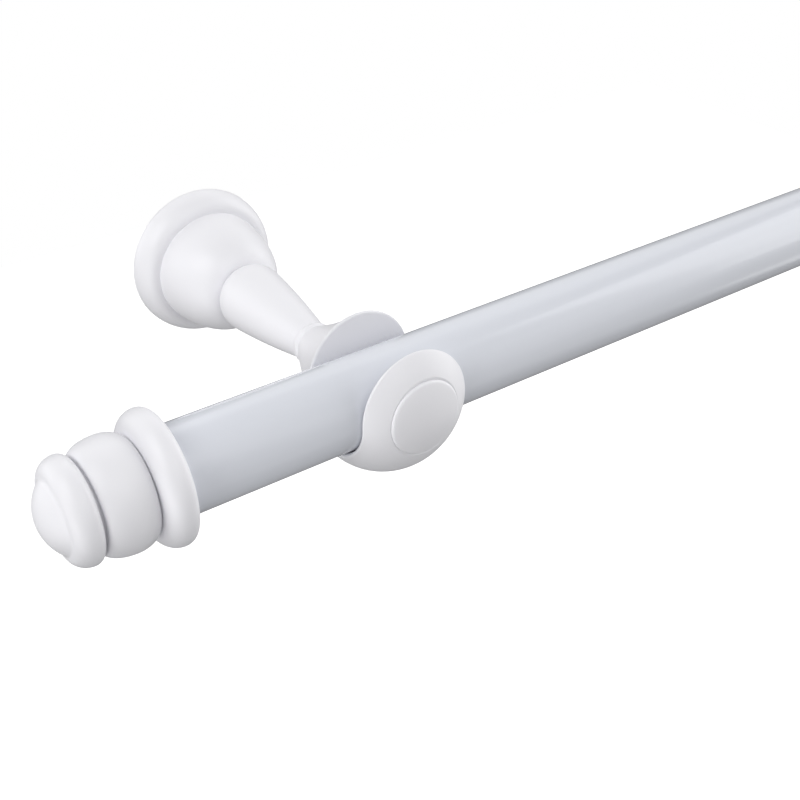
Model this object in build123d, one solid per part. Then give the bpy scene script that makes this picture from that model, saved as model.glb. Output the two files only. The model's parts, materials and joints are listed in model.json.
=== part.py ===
from build123d import *
import math
import os

# Curtain rod on two ball-headed wall brackets, in millimetres.
# The wall is the plane y = 0, the front faces -Y, the rod runs along X and +Z is up.
# The origin lies on the wall, midway between the brackets, at the height of their arms.

# Rod
rod_length = 1000.0
rod_diameter = 28.0
rod_wall = 0.8
rod_overhang = 75.7          # from a bracket's middle to the rod's end
rod_rise = 3.6               # rod axis above the arm axis
projection = 124.5           # wall to rod axis

# Wall plate
plate_thickness = 2.5
plate_margin = 0.8           # plate beyond the screw heads
plate_boss_radius = 6.0
plate_boss_height = 11.0     # from the wall
plate_hole_radius = 2.25
plate_hole_spacing = 24.0
plate_sink_radius = 4.2

# Rosette
rosette_radius = 27.5
rosette_edge_height = 2.6    # from the wall to the widest ring
rosette_foot_inset = 2.5     # the back face is this much smaller in radius
rosette_step_height = 11.0
rosette_step_radius = 22.0
rosette_step_width = 0.8
rosette_height = 36.0        # from the wall to the neck face
rosette_neck_radius = 9.4
rosette_wall = 3.0
rosette_neck_wall = 4.0      # web under the neck face
plate_pocket_gap = 0.4
plate_pocket_depth = 4.0

# Stem
stem_seat_radius = 9.2
stem_shoulder_radius = 12.4
stem_shoulder_length = 6.5
stem_tip_radius = 6.6
stem_bow = 0.5               # bulge of the stem's side beyond a straight cone
spigot_radius = 4.7
spigot_length = 5.0
spigot_gap = 0.1

# Holder
rod_gap = 0.5                # between the rod and the cradle
ball_wall = 12.4             # cradle to the outside, above and below
ball_narrowing = 1.3         # the ball's half width along the rod is this much less than its half height
ball_depth_wall = 8.7        # cradle to the outside, along the arm
front_wall = 5.7             # slot face to the front flat
back_wall = 2.0              # slot face to the end of the ball shape behind it
flare_length = 27.0          # slot face to the collar
flare_tip_radius = 7.0
flare_middle_rise = 0.8      # centre of the flare's middle above the arm axis
collar_radius = 7.5
collar_width = 2.4
slot_edge_round = 0.7

# Tie screw
tie_radius = 3.0
tie_head_radius = 5.6
tie_head_sink = 0.4          # head below the slot's back face
tie_hole_gap = 0.3
thread_gap = 0.05
tie_tip_inset = 1.5          # tip short of the wall
driver_flats = 4.0
driver_depth = 2.4

# Button
button_radius = 12.3
button_height = 1.5
button_edge_round = 0.9
button_dome = 0.5
button_plug_length = 5.0
access_radius = 6.6
button_plug_gap = 0.1

# Lock screw
lock_radius = 3.0
lock_tip_gap = 0.1           # tip to rod
lock_tip_chamfer = 0.8
lock_recess = 1.0            # outer end inside the ball's lowest point
lock_flats = 3.0
lock_socket_depth = 3.5

# Finial
finial_gap = 0.1             # finial to the tube's end
flange_overhang = 7.0        # flange beyond the tube's radius
flange_back_length = 2.8
flange_back_round = 1.8
flange_length = 9.0
flange_fall = 6.6
barrel_radius = 17.7
barrel_start_radius = 13.6
barrel_middle = 16.0         # station of the barrel's widest ring
barrel_end_radius = 14.0
barrel_end = 24.8
groove_width = 0.9
groove_radius = 12.8
bead_radius = 16.4
bead_back_length = 2.7
bead_back_round = 2.4
bead_front_length = 5.8
bead_fall = 5.0
nose_length = 5.0
nose_valley_round = 1.5

# Finial plug and its screw
plug_length = 26.0
plug_fit = 0.05              # rib crest to tube bore
plug_wall = 2.0
plug_base = 4.0
plug_rib_count = 8
plug_rib_height = 0.6
plug_rib_width = 2.4
plug_lead = 1.5
plug_screw_radius = 2.0
plug_screw_depth = 16.0      # in the finial
plug_screw_head_radius = 4.0
plug_screw_head_height = 2.6
plug_screw_slot_width = 1.2
plug_screw_slot_depth = 1.3

# Worked-out sizes
rod_radius = rod_diameter / 2
plate_radius = plate_hole_spacing / 2 + plate_sink_radius + plate_margin
bore_radius = rod_radius - rod_wall
bracket_span = rod_length - 2 * rod_overhang
slot_radius = rod_radius + rod_gap
slot_back = projection - slot_radius
ball_radius = slot_radius + ball_wall
ball_squeeze = 1 - ball_narrowing / ball_radius
ball_half_depth = slot_radius + ball_depth_wall
front_flat = projection + slot_radius + front_wall
ball_back = slot_back - back_wall
flare_end = slot_back - flare_length
holder_back = flare_end - collar_width
tie_hole_radius = tie_radius + tie_hole_gap
tie_head_height = tie_head_radius - tie_radius
flange_radius = rod_radius + flange_overhang
bead_start = barrel_end + groove_width
bead_ring = bead_start + bead_back_length
bead_end = bead_ring + bead_front_length


def turned(*edges):
    """Solid of revolution about Z. The edges close one loop of (radius, height) points."""
    return revolve(Plane.XZ * make_face(edges), Axis.Z)


def corners(*points):
    """Straight edges through (radius, height) points."""
    return Polyline(*points)


def quarter(centre, radius, height, start):
    """Quarter of an ellipse, turning anticlockwise from the start angle."""
    return EllipticalCenterArc(centre, radius, height, start)


def dome(crown, edge):
    """Arc of a ball from its crown on the axis out to an edge point."""
    return TangentArc(crown, edge, tangent=(1, 0))


def drill(radius, start, end):
    """Round cutter on the Z axis between two heights."""
    return Pos(0, 0, start) * Cylinder(radius, end - start, align=(Align.CENTER, Align.CENTER, Align.MIN))


def hexagon(flats, start, end):
    """Six-sided cutter on the Z axis between two heights."""
    section = RegularPolygon(flats / 2, 6, major_radius=False)
    return Pos(0, 0, start) * extrude(section, end - start)


# Pieces of one bracket: Z leaves the wall along the arm, X follows the rod and Y is up


def make_wall_plate():
    disc = drill(plate_radius, 0, plate_thickness)
    boss = drill(plate_boss_radius, 0, plate_boss_height)
    plate = disc + boss - drill(tie_radius + thread_gap, 0, plate_boss_height)
    sink = Cone(plate_hole_radius, plate_sink_radius, plate_sink_radius - plate_hole_radius)
    sink_middle = plate_thickness - (plate_sink_radius - plate_hole_radius) / 2
    for side in (-1, 1):
        place = Pos(0, side * plate_hole_spacing / 2, 0)
        plate -= place * drill(plate_hole_radius, 0, plate_thickness)
        plate -= place * Pos(0, 0, sink_middle) * sink
    return plate


def make_rosette():
    foot = rosette_radius - rosette_foot_inset
    edge = (foot, rosette_edge_height)
    edge_round = quarter(edge, rosette_foot_inset, rosette_edge_height, 270)
    fall = (rosette_step_radius, rosette_edge_height)
    rim_rise = rosette_step_height - rosette_edge_height
    rim = quarter(fall, rosette_radius - rosette_step_radius, rim_rise, 0)
    bell_foot = rosette_step_radius - rosette_step_width
    bell_centre = (rosette_neck_radius, rosette_step_height)
    bell_rise = rosette_height - rosette_step_height
    bell = quarter(bell_centre, bell_foot - rosette_neck_radius, bell_rise, 0)
    pocket = plate_radius + plate_pocket_gap
    hollow_foot = bell_foot - rosette_wall
    hollow_top = rosette_height - rosette_neck_wall
    hollow_centre = (plate_boss_radius, rosette_step_height)
    hollow = quarter(hollow_centre, hollow_foot - plate_boss_radius, hollow_top - rosette_step_height, 0)
    return turned(
        edge_round,
        rim,
        corners(rim @ 1, (bell_foot, rosette_step_height)),
        bell,
        corners(bell @ 1, (tie_hole_radius, rosette_height), (tie_hole_radius, hollow_top), hollow @ 1),
        hollow,
        corners(
            hollow @ 0,
            (hollow_foot, plate_pocket_depth),
            (pocket, plate_pocket_depth),
            (pocket, 0),
            edge_round @ 0,
        ),
    )


def make_stem():
    shoulder_top = rosette_height + stem_shoulder_length
    shoulder_centre = (stem_seat_radius, shoulder_top)
    shoulder = quarter(shoulder_centre, stem_shoulder_radius - stem_seat_radius, stem_shoulder_length, 270)
    side = SagittaArc(shoulder @ 1, (stem_tip_radius, holder_back), -stem_bow)
    return turned(
        shoulder,
        side,
        corners(
            side @ 1,
            (spigot_radius, holder_back),
            (spigot_radius, holder_back + spigot_length),
            (tie_hole_radius, holder_back + spigot_length),
            (tie_hole_radius, rosette_height),
            shoulder @ 0,
        ),
    )


def make_slot():
    """Cutter for the rod: round below the rod's axis and straight up above it."""
    reach = 2 * ball_radius
    round_part = Cylinder(slot_radius, 2 * reach, rotation=(0, 90, 0))
    straight_part = Box(2 * reach, reach, 2 * slot_radius, align=(Align.CENTER, Align.MIN, Align.CENTER))
    return Pos(0, rod_rise, projection) * (round_part + straight_part)


def make_holder_blank():
    """Ball with a flat front, and a flare from it back to a collar on the arm's axis."""
    front_angle = math.degrees(math.asin((front_flat - projection) / ball_half_depth))
    back_angle = math.degrees(math.asin((ball_back - projection) / ball_half_depth))
    ball_turn = front_angle - back_angle
    ball_line = EllipticalCenterArc(
        (0, projection), ball_radius, ball_half_depth, back_angle, arc_size=ball_turn
    )
    round_ball = turned(ball_line, corners(ball_line @ 1, (0, front_flat), (0, ball_back), ball_line @ 0))
    ball = scale(round_ball, by=(ball_squeeze, 1, 1))
    root_radius = (ball_line @ 0).X
    root = Pos(0, rod_rise, ball_back) * Ellipse(root_radius * ball_squeeze, root_radius)
    middle_radius = (root_radius + flare_tip_radius) / 2
    middle = Pos(0, flare_middle_rise, (ball_back + flare_end) / 2) * Circle(middle_radius)
    tip = Pos(0, 0, flare_end) * Circle(flare_tip_radius)
    flare = loft([tip, middle, root])
    collar_top = (collar_radius, (holder_back + flare_end) / 2)
    collar_line = ThreePointArc((flare_tip_radius, holder_back), collar_top, (flare_tip_radius, flare_end))
    collar = turned(
        collar_line,
        corners(collar_line @ 1, (0, flare_end), (0, holder_back), collar_line @ 0),
    )
    return Pos(0, rod_rise, 0) * ball + flare + collar


def make_holder():
    blank = make_holder_blank()
    slot = make_slot()
    holder = blank - slot
    rim = new_edges(blank, slot, combined=holder).filter_by(GeomType.LINE, reverse=True)
    holder = fillet(rim, slot_edge_round)
    holder -= drill(spigot_radius + spigot_gap, holder_back, holder_back + spigot_length + spigot_gap)
    holder -= drill(tie_hole_radius, holder_back, slot_back)
    holder -= make_tie_head(thread_gap) + drill(tie_head_radius + thread_gap, tie_head_top(), projection)
    holder -= drill(access_radius, projection, front_flat)
    holder -= lock_place() * drill(lock_radius + thread_gap, -2 * ball_radius, 0)
    return holder


def tie_head_top():
    return slot_back - tie_head_sink


def make_tie_head(gap):
    """Countersunk head, larger in radius by the gap."""
    top = tie_head_top()
    foot = top - tie_head_height
    return turned(
        corners((0, foot), (tie_radius + gap, foot), (tie_head_radius + gap, top), (0, top), (0, foot))
    )


def make_tie_screw():
    top = tie_head_top()
    screw = make_tie_head(0) + drill(tie_radius, tie_tip_inset, top - tie_head_height)
    return screw - hexagon(driver_flats, top - driver_depth, top)


def make_button_cap():
    """Button on the ball's axis; its plug sits on the arm's axis, which keeps it from turning."""
    edge_height = button_height - button_dome - button_edge_round
    edge_centre = (button_radius - button_edge_round, front_flat + edge_height)
    edge = quarter(edge_centre, button_edge_round, button_edge_round, 0)
    crown = (0, front_flat + button_height)
    button = turned(
        edge,
        dome(crown, edge @ 1),
        corners(crown, (0, front_flat), (button_radius, front_flat), edge @ 0),
    )
    plug = drill(access_radius - button_plug_gap, front_flat - button_plug_length, front_flat)
    return Pos(0, rod_rise, 0) * button + plug


def lock_place():
    """Frame of the lock screw: its origin on the rod's axis, its Z upward."""
    return Pos(0, rod_rise, projection) * Rot(-90, 0, 0)


def make_lock_screw():
    tip = -(rod_radius + lock_tip_gap)
    end = lock_recess - ball_radius
    screw = turned(
        corners(
            (0, tip),
            (lock_radius - lock_tip_chamfer, tip),
            (lock_radius, tip - lock_tip_chamfer),
            (lock_radius, end),
            (0, end),
            (0, tip),
        )
    )
    return lock_place() * (screw - hexagon(lock_flats, end, end + lock_socket_depth))


# Pieces of one rod end: Z leaves the rod along its axis, from the tube's end face


def make_finial():
    back = finial_gap
    flange_ring = back + flange_back_length
    flange_back_centre = (flange_radius - flange_back_round, flange_ring)
    flange_back = quarter(flange_back_centre, flange_back_round, flange_back_length, 270)
    flange_front_centre = (flange_radius - flange_fall, flange_ring)
    flange_front = quarter(flange_front_centre, flange_fall, flange_length - flange_ring, 0)
    rise_centre = (barrel_start_radius, barrel_middle)
    rise_width = barrel_radius - barrel_start_radius
    barrel_rise = quarter(rise_centre, rise_width, barrel_middle - flange_length, 270)
    fall_centre = (barrel_end_radius, barrel_middle)
    fall_width = barrel_radius - barrel_end_radius
    barrel_fall = quarter(fall_centre, fall_width, barrel_end - barrel_middle, 0)
    bead_back_centre = (bead_radius - bead_back_round, bead_ring)
    bead_back = quarter(bead_back_centre, bead_back_round, bead_back_length, 270)
    bead_front_centre = (bead_radius - bead_fall, bead_ring)
    bead_front = quarter(bead_front_centre, bead_fall, bead_front_length, 0)
    nose_tip = (0, bead_end + nose_length)
    finial = turned(
        flange_back,
        flange_front,
        corners(flange_front @ 1, barrel_rise @ 0),
        barrel_rise,
        barrel_fall,
        corners(barrel_fall @ 1, (groove_radius, barrel_end), (groove_radius, bead_start), bead_back @ 0),
        bead_back,
        bead_front,
        dome(nose_tip, bead_front @ 1),
        corners(
            nose_tip,
            (0, back + plug_screw_depth),
            (plug_screw_radius + thread_gap, back + plug_screw_depth),
            (plug_screw_radius + thread_gap, back),
            flange_back @ 0,
        ),
    )
    valley = finial.edges().filter_by_position(Axis.Z, bead_end, bead_end).filter_by(GeomType.CIRCLE)
    return fillet(valley, nose_valley_round)


def make_finial_plug():
    crest = bore_radius - plug_fit
    body_radius = crest - plug_rib_height
    front = finial_gap
    end = front - plug_length
    plug = turned(
        corners(
            (plug_screw_radius + thread_gap, front),
            (body_radius, front),
            (body_radius, end + plug_lead),
            (body_radius - plug_rib_height, end),
            (body_radius - plug_wall, end),
            (body_radius - plug_wall, front - plug_base),
            (plug_screw_radius + thread_gap, front - plug_base),
            (plug_screw_radius + thread_gap, front),
        )
    )
    rib_length = plug_length - plug_lead - plug_rib_height
    ring = drill(crest, front - rib_length, front) - drill(body_radius, front - rib_length, front)
    rib = Box(2 * plug_rib_height + plug_wall, plug_rib_width, 2 * plug_length)
    ribs = [rot * Pos(crest, 0, 0) * rib for rot in PolarLocations(0, plug_rib_count)]
    return plug + (ring & (Part() + ribs))


def make_finial_screw():
    seat = finial_gap - plug_base
    shank = drill(plug_screw_radius, seat, finial_gap + plug_screw_depth - plug_screw_radius)
    head = drill(plug_screw_head_radius, seat - plug_screw_head_height, seat)
    head = fillet(head.edges().group_by(Axis.Z)[0], plug_screw_head_height / 2)
    slot = Box(3 * plug_screw_head_radius, plug_screw_slot_width, 2 * plug_screw_slot_depth)
    return shank + head - Pos(0, 0, seat - plug_screw_head_height) * slot


def make_rod_tube():
    tube = Cylinder(rod_radius, rod_length) - Cylinder(bore_radius, rod_length)
    return Pos(0, -projection, rod_rise) * Rot(0, 90, 0) * tube


bracket_makers = {
    "wall_plate": make_wall_plate,
    "rosette": make_rosette,
    "stem": make_stem,
    "holder": make_holder,
    "tie_screw": make_tie_screw,
    "button_cap": make_button_cap,
    "lock_screw": make_lock_screw,
}
end_makers = {
    "finial": make_finial,
    "finial_plug": make_finial_plug,
    "finial_screw": make_finial_screw,
}
nodes = {"rod_tube": make_rod_tube()}
for hand, side in (("left", -1), ("right", 1)):
    bracket_place = Pos(side * bracket_span / 2, 0, 0) * Rot(90, 0, 0)
    for name, maker in bracket_makers.items():
        nodes[hand + "_" + name] = bracket_place * maker()
    end_place = Pos(side * rod_length / 2, -projection, rod_rise) * Rot(0, side * 90, 0)
    for name, maker in end_makers.items():
        nodes[hand + "_" + name] = end_place * maker()

os.makedirs("parts", exist_ok=True)
for name, shape in nodes.items():
    export_step(shape, "parts/" + name + ".step")
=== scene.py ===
import json
import math

import bpy
import numpy as np
from mathutils import Matrix, Vector


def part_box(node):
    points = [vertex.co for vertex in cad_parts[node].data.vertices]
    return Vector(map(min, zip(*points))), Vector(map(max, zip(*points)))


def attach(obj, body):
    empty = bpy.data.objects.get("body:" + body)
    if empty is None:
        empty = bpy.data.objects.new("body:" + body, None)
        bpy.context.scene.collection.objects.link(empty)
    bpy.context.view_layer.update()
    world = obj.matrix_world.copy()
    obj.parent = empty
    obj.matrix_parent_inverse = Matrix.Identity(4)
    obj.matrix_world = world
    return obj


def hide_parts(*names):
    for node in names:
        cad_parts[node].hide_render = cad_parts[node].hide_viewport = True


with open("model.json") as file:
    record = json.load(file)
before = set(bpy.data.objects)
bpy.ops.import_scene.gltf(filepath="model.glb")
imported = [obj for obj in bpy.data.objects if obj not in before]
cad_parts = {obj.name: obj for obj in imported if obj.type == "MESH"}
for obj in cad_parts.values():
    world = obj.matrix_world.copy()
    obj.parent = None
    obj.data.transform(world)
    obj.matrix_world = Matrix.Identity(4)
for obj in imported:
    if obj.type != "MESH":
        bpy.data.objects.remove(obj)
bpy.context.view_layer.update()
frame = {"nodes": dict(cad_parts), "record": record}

# Looks of a white curtain rod on two ball-headed wall brackets, in metres, in the frame of the part.

# Camera
millimetres_in_metre = 1000
image_width = 0.036
lens_length = 0.0585
nearest_seen = 0.01
view_turn = math.radians(34.894)      # camera to the left of straight ahead
view_dip = math.radians(32.639)       # camera looking down
view_roll = math.radians(1.112)
view_distance = 0.405214
aim_from_end = 0.07822                # aim point, along the rod from the tube's end
aim_in_front = 0.00382                # and in front of the rod's axis
aim_below = 0.00335                   # and under it

# Stage
white = (1, 1, 1, 1)
floor_drop = 2.2                      # the rod hangs about this high
floor_size = 9.0
floor_glow = 1.0
sky_glow = 0.200                      # light from all round
sky_for_view = 1.0                    # what the camera sees there

# Softboxes: name, direction from the rod's left end, distance, power
near = 1.6
far = 4.0                             # where a near one would stand too close to the rod's right end
softbox_share = 0.6875                # side of a square softbox as a share of its distance
softboxes = (
    ("low_left_front", (-0.7, -0.5, -0.5), near, 4.3),
    ("low_left", (-0.9, -0.2, -0.3), near, 7.8),
    ("left_top", (-1, 0, 1), near, 13.8),
    ("left_back", (-0.7, 1.3, 0.35), near, 4.5),
    ("front_top", (0, -1, 1), near, 6.8),
    ("back_top", (0, 1, 1), near, 3.9),
    ("right", (1, 0, 0.2), far, 25.7),
    ("right_front", (0.7, -0.7, 0.2), near, 1.5),
    ("right_back_top", (0.6, 0.6, 0.5), near, 2.3),
    ("low_right", (1, -0.15, -0.35), far, 18.9),
    ("low_right_front", (0.7, -0.6, -0.4), far, 7.5),
)

# The softbox that shows as a streak on the rod
window_direction = (0.916, -0.246, 0.317)
window_distance = 2.652
window_size = (2.25, 2.67)            # width and height
window_power = 33.0
window_up = (-0.160, 0.447, 0.880)    # direction of its height

# Turned pieces
sharp_edge = math.radians(35)         # faces that meet at a larger angle keep a sharp edge

# Screws
screw_columns = 48                    # points round a screw
screw_turn = np.arange(screw_columns) / screw_columns
thread_rows_per_turn = 12
thread_pitch = 0.001
thread_depth = 0.61 * thread_pitch
thread_flat = 0.1875                  # share of the groove's wave that is cut flat at its top and bottom
socket_sides = 6
lock_tip_chamfer = 0.0008
lock_end_chamfer = 0.0005
lock_flats = 0.003
lock_socket_depth = 0.0035
tie_radius = 0.003
tie_thread_length = 0.040
tie_tip_chamfer = 0.0007
tie_flats = 0.004
tie_socket_depth = 0.0024

# Buttons
button_columns = 96                   # points round a button
button_rings = 24                     # on its dome
button_edge_points = 9
button_height = 0.0015
button_edge_height = 0.0011
button_edge_width = 0.0012
button_shading_slope = 0.40           # of the dome's normals at its rim
button_plug_radius = 0.0065
arm_height = 0.0                      # of the arm's axis, which the plug is on

# Finishes: waves of a fine pattern in a metre
moulding_grain = 2600.0
paint_ripple = 900.0
brushing = 3000.0
brush_mark_length = 30                # over its width


# Numbers read from the frame


def node_box(node):
    """Lowest and highest corner of a node at rest."""
    low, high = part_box(node)
    return np.array(low), np.array(high)


rod_low, rod_high = node_box("rod_tube")
rod_axis = (rod_low + rod_high) / 2
rod_end = np.array((rod_low[0], rod_axis[1], rod_axis[2]))


# Node helpers


class Finish:
    """A node material with one shader, fed by patterns on the piece's own coordinates."""

    def __init__(self, name, **sockets):
        self.material = bpy.data.materials.new(name)
        self.material.use_nodes = True
        self.tree = self.material.node_tree
        self.shader = self.tree.nodes["Principled BSDF"]
        self.place = self.tree.nodes.new("ShaderNodeTexCoord").outputs["Object"]
        for socket, value in sockets.items():
            self.shader.inputs[socket.replace("_", " ")].default_value = value

    def stretch(self, scale):
        """The piece's coordinates, times the scale along each axis."""
        node = self.tree.nodes.new("ShaderNodeMapping")
        node.inputs["Scale"].default_value = scale
        self.tree.links.new(self.place, node.inputs["Vector"])
        return node.outputs["Vector"]

    def noise(self, waves, detail, place=None):
        """Soft cloudy pattern from 0 to 1 with so many waves in a metre."""
        node = self.tree.nodes.new("ShaderNodeTexNoise")
        node.inputs["Scale"].default_value = waves
        node.inputs["Detail"].default_value = detail
        self.tree.links.new(place or self.place, node.inputs["Vector"])
        return node.outputs["Fac"]

    def tint(self, pattern, dark, light):
        """Base colour from dark to light with the pattern."""
        node = self.tree.nodes.new("ShaderNodeValToRGB")
        node.color_ramp.elements[0].color = (*dark, 1)
        node.color_ramp.elements[1].color = (*light, 1)
        self.tree.links.new(pattern, node.inputs["Fac"])
        self.tree.links.new(node.outputs["Color"], self.shader.inputs["Base Color"])

    def gloss(self, pattern, low, high):
        """Roughness from low to high with the pattern."""
        node = self.tree.nodes.new("ShaderNodeMapRange")
        node.inputs["To Min"].default_value = low
        node.inputs["To Max"].default_value = high
        self.tree.links.new(pattern, node.inputs["Value"])
        self.tree.links.new(node.outputs["Result"], self.shader.inputs["Roughness"])

    def relief(self, pattern, height, strength):
        """Bumps as high as the height, in metres."""
        node = self.tree.nodes.new("ShaderNodeBump")
        node.inputs["Distance"].default_value = height
        node.inputs["Strength"].default_value = strength
        self.tree.links.new(pattern, node.inputs["Height"])
        self.tree.links.new(node.outputs["Normal"], self.shader.inputs["Normal"])


# Finishes


def moulded_white():
    """Satin white moulding: a faint cloudiness, an uneven sheen and a very fine grain."""
    finish = Finish("moulded_white", IOR=1.49)
    cloud = finish.noise(waves=45, detail=3)
    sheen = finish.noise(waves=160, detail=2)
    grain = finish.noise(waves=moulding_grain, detail=2)
    finish.tint(cloud, dark=(0.832, 0.829, 0.860), light=(0.858, 0.855, 0.886))
    finish.gloss(sheen, low=0.36, high=0.46)
    finish.relief(grain, height=0.00003, strength=0.25)
    return finish.material


def rod_enamel():
    """Smooth cool white enamel on the tube: long faint draw marks under it and a slight ripple."""
    finish = Finish("rod_enamel", IOR=1.5, Coat_Weight=0.5, Coat_Roughness=0.1)
    draw_marks = finish.noise(waves=1, detail=3, place=finish.stretch((6, 260, 260)))
    sheen = finish.noise(waves=120, detail=2)
    ripple = finish.noise(waves=paint_ripple, detail=1)
    finish.tint(draw_marks, dark=(0.706, 0.727, 0.784), light=(0.735, 0.757, 0.813))
    finish.gloss(sheen, low=0.19, high=0.26)
    finish.relief(ripple, height=0.00002, strength=0.05)
    return finish.material


def natural_nylon():
    """Uncoloured moulded nylon: warm, slightly mottled and dull."""
    finish = Finish("natural_nylon", IOR=1.53)
    mottle = finish.noise(waves=130, detail=4)
    sheen = finish.noise(waves=300, detail=2)
    grain = finish.noise(waves=moulding_grain, detail=3)
    finish.tint(mottle, dark=(0.74, 0.73, 0.69), light=(0.81, 0.80, 0.765))
    finish.gloss(sheen, low=0.42, high=0.58)
    finish.relief(grain, height=0.00004, strength=0.35)
    return finish.material


def zinc_plate():
    """Zinc-plated sheet steel: fine straight brushing under a clouded bright plating."""
    finish = Finish("zinc_plate", Metallic=1.0)
    cloud = finish.noise(waves=90, detail=4)
    brush_scale = (brushing, brushing, brushing / brush_mark_length)
    brush = finish.noise(waves=1, detail=4, place=finish.stretch(brush_scale))
    finish.tint(cloud, dark=(0.46, 0.47, 0.50), light=(0.66, 0.67, 0.69))
    finish.gloss(brush, low=0.24, high=0.44)
    finish.relief(brush, height=0.00002, strength=0.3)
    return finish.material


def zinc_screw():
    """Zinc-plated screw steel: bright and lightly clouded, with a fine grain."""
    finish = Finish("zinc_screw", Metallic=1.0)
    cloud = finish.noise(waves=400, detail=3)
    sheen = finish.noise(waves=700, detail=3)
    grain = finish.noise(waves=brushing, detail=2)
    finish.tint(cloud, dark=(0.42, 0.43, 0.45), light=(0.62, 0.63, 0.65))
    finish.gloss(sheen, low=0.2, high=0.36)
    finish.relief(grain, height=0.00001, strength=0.3)
    return finish.material


def paint_nodes():
    """Gives each node the finish of its material slot in the record, and returns the finishes."""
    finishes = {
        "rod_paint": rod_enamel(),
        "white_plastic": moulded_white(),
        "plug_plastic": natural_nylon(),
        "plate_steel": zinc_plate(),
        "screw_steel": zinc_screw(),
    }
    for part in frame["record"]["subparts"]:
        mesh = frame["nodes"][part["node"]].data
        mesh.materials.clear()
        mesh.materials.append(finishes[part["material_slot"]])
    return finishes


# Turned pieces


def ring_directions(columns, along, across):
    """Directions away from an axis, at even angles from the across direction."""
    angle = np.arange(columns) * 2 * math.pi / columns
    return np.cos(angle)[:, None] * across + np.sin(angle)[:, None] * np.cross(along, across)


def turned_rows(columns, radius, height):
    """Plain rows of a turned surface: each has one radius and one height all round."""
    return np.stack([np.tile(np.array(values)[:, None], columns) for values in (radius, height)])


def turned_shell(rows, foot, along, across):
    """Points and faces of a closed surface round an axis. A row's points lie at their radius and height
    from the foot, at even angles from the across direction. The first and last rows close to the axis."""
    radius, height = np.concatenate(rows, axis=1)
    columns = radius.shape[1]
    outward = ring_directions(columns, along, across)
    points = foot + height[..., None] * along + radius[..., None] * outward
    ends = foot + np.outer((height[0].mean(), height[-1].mean()), along)
    index = np.arange(radius.size).reshape(radius.shape)
    after = np.roll(index, -1, axis=1)
    sides = np.stack((index[:-1], after[:-1], after[1:], index[1:]), axis=-1).reshape(-1, 4)
    start = np.stack((np.full(columns, radius.size), after[0], index[0]), axis=-1)
    end = np.stack((np.full(columns, radius.size + 1), index[-1], after[-1]), axis=-1)
    return np.concatenate((points.reshape(-1, 3), ends)), (sides, start, end)


def add_turned(name, shells, body, node, finish):
    """Piece of one or more turned shells. It stands for a node and moves with a body. Returns its mesh."""
    points, faces, count = [], [], 0
    for shell_points, shell_faces in shells:
        points.append(shell_points)
        for group in shell_faces:
            faces += (group + count).tolist()
        count += len(shell_points)
    mesh = bpy.data.meshes.new(name)
    mesh.from_pydata(np.concatenate(points).tolist(), [], faces)
    mesh.shade_smooth()
    mesh.set_sharp_from_angle(angle=sharp_edge)
    mesh.materials.append(finish)
    piece = bpy.data.objects.new(name, mesh)
    bpy.context.scene.collection.objects.link(piece)
    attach(piece, body)
    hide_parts(node)
    return mesh


# Screws


def thread_rows(crest, length, runout):
    """Rows of a thread that starts at height 0. The radius is the crest less the depth times a groove
    that follows the height in pitches less the turn: a triangle wave, cut flat at its top and bottom.
    The groove dies out over the runout before the end."""
    turns = length / thread_pitch
    height = np.linspace(0, length, round(turns * thread_rows_per_turn) + 1)[:, None]
    wave = np.abs(2 * np.mod(height / thread_pitch - screw_turn, 1) - 1)
    cut_wave = np.clip((wave - thread_flat) / (1 - 2 * thread_flat), 0, 1)
    groove = cut_wave * np.clip((length - height) / runout, 0, 1)
    radius = crest - thread_depth * groove
    return np.stack((radius, np.broadcast_to(height, radius.shape)))


def socket_rows(flats, top, depth):
    """Rows of a socket with flat sides. Its radius is half the width over the flats, over the cosine of
    the angle from the middle of the nearest flat."""
    angle = (np.mod(socket_sides * screw_turn + 0.5, 1) - 0.5) * 2 * math.pi / socket_sides
    radius = np.tile(flats / 2 / np.cos(angle), (2, 1))
    height = np.array((top, top - depth))[:, None]
    return np.stack((radius, np.broadcast_to(height, radius.shape)))


def add_lock_screw(hand, finish):
    """Set screw, threaded all along, with a chamfer at each end, its tip at the top and its socket at the
    bottom. A chamfer's radius grows as fast as the distance from its end."""
    node = hand + "_lock_screw"
    low, high = node_box(node)
    middle = (low + high) / 2
    crest = (high[0] - low[0]) / 2
    length = high[2] - low[2]
    thread = thread_rows(crest, length, thread_pitch / thread_rows_per_turn)
    thread[0] = np.minimum(thread[0], crest - lock_tip_chamfer + thread[1])
    thread[0] = np.minimum(thread[0], crest - lock_end_chamfer + length - thread[1])
    rows = (thread, socket_rows(lock_flats, length, lock_socket_depth))
    tip = np.array((middle[0], middle[1], high[2]))
    shell = turned_shell(rows, tip, np.array((0, 0, -1)), np.array((1, 0, 0)))
    add_turned(node + "_threaded", [shell], hand + "_lock", node, finish)


def add_tie_screw(hand, finish):
    """Long countersunk screw: a chamfered tip near the wall, a thread, a plain shank and a cone-shaped
    head with a socket. The cone's radius grows as fast as its height."""
    node = hand + "_tie_screw"
    low, high = node_box(node)
    middle = (low + high) / 2
    head_radius = (high[0] - low[0]) / 2
    length = high[1] - low[1]
    head_foot = length - (head_radius - tie_radius)
    thread = thread_rows(tie_radius, tie_thread_length, thread_pitch)
    thread[0] = np.minimum(thread[0], tie_radius - tie_tip_chamfer + thread[1])
    head = turned_rows(screw_columns, (tie_radius, head_radius), (head_foot, length))
    rows = (thread, head, socket_rows(tie_flats, length, tie_socket_depth))
    tip = np.array((middle[0], high[1], middle[2]))
    shell = turned_shell(rows, tip, np.array((0, -1, 0)), np.array((1, 0, 0)))
    add_turned(node + "_threaded", [shell], "frame", node, finish)


# Buttons


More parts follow.
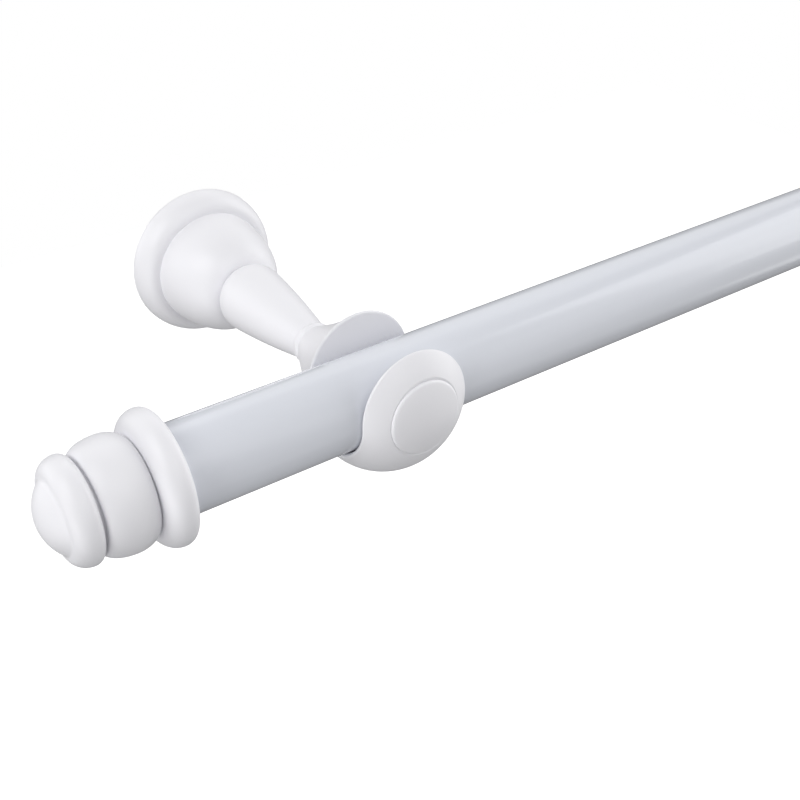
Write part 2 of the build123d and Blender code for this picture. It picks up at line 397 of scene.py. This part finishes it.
def button_profile(radius):
    """Radius, height and outward lean of the normals of a button's rings, from the foot of its edge to
    near its middle. The edge is part of an ellipse. The dome's height is its rise times one less the
    square of the radius over the dome's own radius. The lean grows in proportion to the radius, more than
    the dome's slope does, so that it is shaded like the ball it sits on, or is the edge's where that is
    more: the ellipse's height over its width, over the tangent of the turn."""
    rim_slope = 2 * (button_height - button_edge_height) / (radius - button_edge_width)
    last_turn = math.atan(button_edge_height / (button_edge_width * rim_slope))
    turn = np.linspace(0, last_turn, button_edge_points)
    edge_radius = radius - button_edge_width * (1 - np.cos(turn))
    edge_height = button_edge_height * np.sin(turn)
    edge_lean = button_edge_height / button_edge_width / np.tan(turn[1:])
    dome_share = np.arange(button_rings - 1, 0, -1) / button_rings
    dome_radius = edge_radius[-1] * dome_share
    dome_height = edge_height[-1] + (button_height - edge_height[-1]) * (1 - dome_share**2)
    ring_radius = np.concatenate((edge_radius, dome_radius))
    ring_height = np.concatenate((edge_height, dome_height))
    lean = button_shading_slope * ring_radius / edge_radius[-1]
    lean[1:button_edge_points] = np.maximum(lean[1:button_edge_points], edge_lean)
    return ring_radius, ring_height, lean


def lean_normals(mesh, lean, along, across):
    """Sets the normals of a button's rings: along the axis, plus the lean times the direction away from
    it. The foot of the edge and the plug have zeros here, which leave their normals as they are."""
    leaning = along + lean[1:, None, None] * ring_directions(button_columns, along, across)
    leaning /= np.linalg.norm(leaning, axis=-1, keepdims=True)
    ring_points = len(lean) * button_columns
    dome_middle = ring_points + 1
    normals = np.zeros((len(mesh.vertices), 3))
    normals[button_columns:ring_points] = leaning.reshape(-1, 3)
    normals[dome_middle] = along
    mesh.normals_split_custom_set_from_vertices(normals.tolist())


def add_button(hand, finish):
    """Button with a rounded edge that runs into a shallow dome, and a plug behind it on the arm's axis."""
    node = hand + "_button_cap"
    low, high = node_box(node)
    middle = (low + high) / 2
    along, across = np.array((0, -1, 0)), np.array((1, 0, 0))
    back = low[1] + button_height
    ring_radius, ring_height, lean = button_profile((high[0] - low[0]) / 2)
    disc_rows = turned_rows(button_columns, ring_radius, ring_height)
    disc = turned_shell([disc_rows], np.array((middle[0], back, middle[2])), along, across)
    plug_rows = turned_rows(button_columns, (button_plug_radius, button_plug_radius), (0, high[1] - back))
    plug = turned_shell([plug_rows], np.array((middle[0], high[1], arm_height)), along, across)
    mesh = add_turned(node + "_domed", [disc, plug], "frame", node, finish)
    lean_normals(mesh, lean, along, across)


# Stage


def add_floor():
    """Flat square floor far under the object, large enough to fill the view."""
    half = floor_size / 2
    height = rod_axis[2] - floor_drop
    grid_x, grid_y = np.meshgrid((-half, half), (-half, half))
    points = np.stack((grid_x, grid_y, np.full_like(grid_x, height)), axis=-1).reshape(-1, 3)
    mesh = bpy.data.meshes.new("floor")
    mesh.from_pydata(points.tolist(), [], [(0, 1, 3, 2)])
    floor = bpy.data.objects.new("floor", mesh)
    finish = Finish("floor_card", Roughness=0.9, Emission_Color=white, Emission_Strength=floor_glow)
    finish.tint(finish.noise(waves=0.8, detail=2), dark=(0.90, 0.90, 0.90), light=(0.93, 0.93, 0.93))
    finish.material.cycles.emission_sampling = "NONE"
    mesh.materials.append(finish.material)
    floor.visible_diffuse = False
    floor.visible_glossy = False
    floor.visible_shadow = False
    bpy.context.scene.collection.objects.link(floor)


def add_sky():
    """Even white surroundings: one strength as a light, another as the camera sees them."""
    world = bpy.data.worlds.new("studio")
    world.use_nodes = True
    tree = world.node_tree
    light = tree.nodes["Background"]
    light.inputs["Color"].default_value = white
    light.inputs["Strength"].default_value = sky_glow
    backdrop = tree.nodes.new("ShaderNodeBackground")
    backdrop.inputs["Color"].default_value = white
    backdrop.inputs["Strength"].default_value = sky_for_view
    mix = tree.nodes.new("ShaderNodeMixShader")
    path = tree.nodes.new("ShaderNodeLightPath")
    tree.links.new(path.outputs["Is Camera Ray"], mix.inputs["Fac"])
    tree.links.new(light.outputs["Background"], mix.inputs[1])
    tree.links.new(backdrop.outputs["Background"], mix.inputs[2])
    tree.links.new(mix.outputs["Shader"], tree.nodes["World Output"].inputs["Surface"])
    bpy.context.scene.world = world


def add_softbox(name, direction, distance, size, power, up=(0, 0, 1)):
    """Rectangular lamp in a direction from the rod's left end, facing it, its height along the up
    direction. The size is its width and height."""
    lamp = bpy.data.lights.new(name + "_softbox", "AREA")
    lamp.shape = "RECTANGLE"
    lamp.size, lamp.size_y = size
    lamp.energy = power
    away = Vector(direction).normalized()
    across = Vector(up).cross(away).normalized()
    turn = Matrix((across, away.cross(across), away)).transposed().to_4x4()
    lamp_object = bpy.data.objects.new(name + "_softbox", lamp)
    lamp_object.matrix_world = Matrix.Translation(Vector(rod_end) + distance * away) @ turn
    lamp_object.visible_camera = False
    bpy.context.scene.collection.objects.link(lamp_object)


def add_lamps():
    """Square softboxes all round the rod's left end, and the one that shows as a streak on the rod."""
    for name, direction, distance, power in softboxes:
        side = softbox_share * distance
        add_softbox(name, direction, distance, (side, side), power)
    add_softbox("window", window_direction, window_distance, window_size, window_power, window_up)


def add_camera():
    """Camera at the view angles and distance from the aim point."""
    aim = Vector(rod_end + np.array((aim_from_end, -aim_in_front, -aim_below)))
    turn = Matrix.Rotation(-view_turn, 4, "Z")
    dip = Matrix.Rotation(math.pi / 2 - view_dip, 4, "X")
    roll = Matrix.Rotation(-view_roll, 4, "Z")
    back = Matrix.Translation((0, 0, view_distance))
    lens = bpy.data.cameras.new("photo_camera")
    lens.sensor_width = image_width * millimetres_in_metre
    lens.lens = lens_length * millimetres_in_metre
    lens.clip_start = nearest_seen
    camera = bpy.data.objects.new("photo_camera", lens)
    camera.matrix_world = Matrix.Translation(aim) @ turn @ dip @ roll @ back
    bpy.context.scene.collection.objects.link(camera)
    bpy.context.scene.camera = camera


finishes = paint_nodes()
for hand in ("left", "right"):
    add_lock_screw(hand, finishes["screw_steel"])
    add_tie_screw(hand, finishes["screw_steel"])
    add_button(hand, finishes["white_plastic"])
add_floor()
add_sky()
add_lamps()
add_camera()
bpy.context.scene.view_settings.view_transform = "Standard"
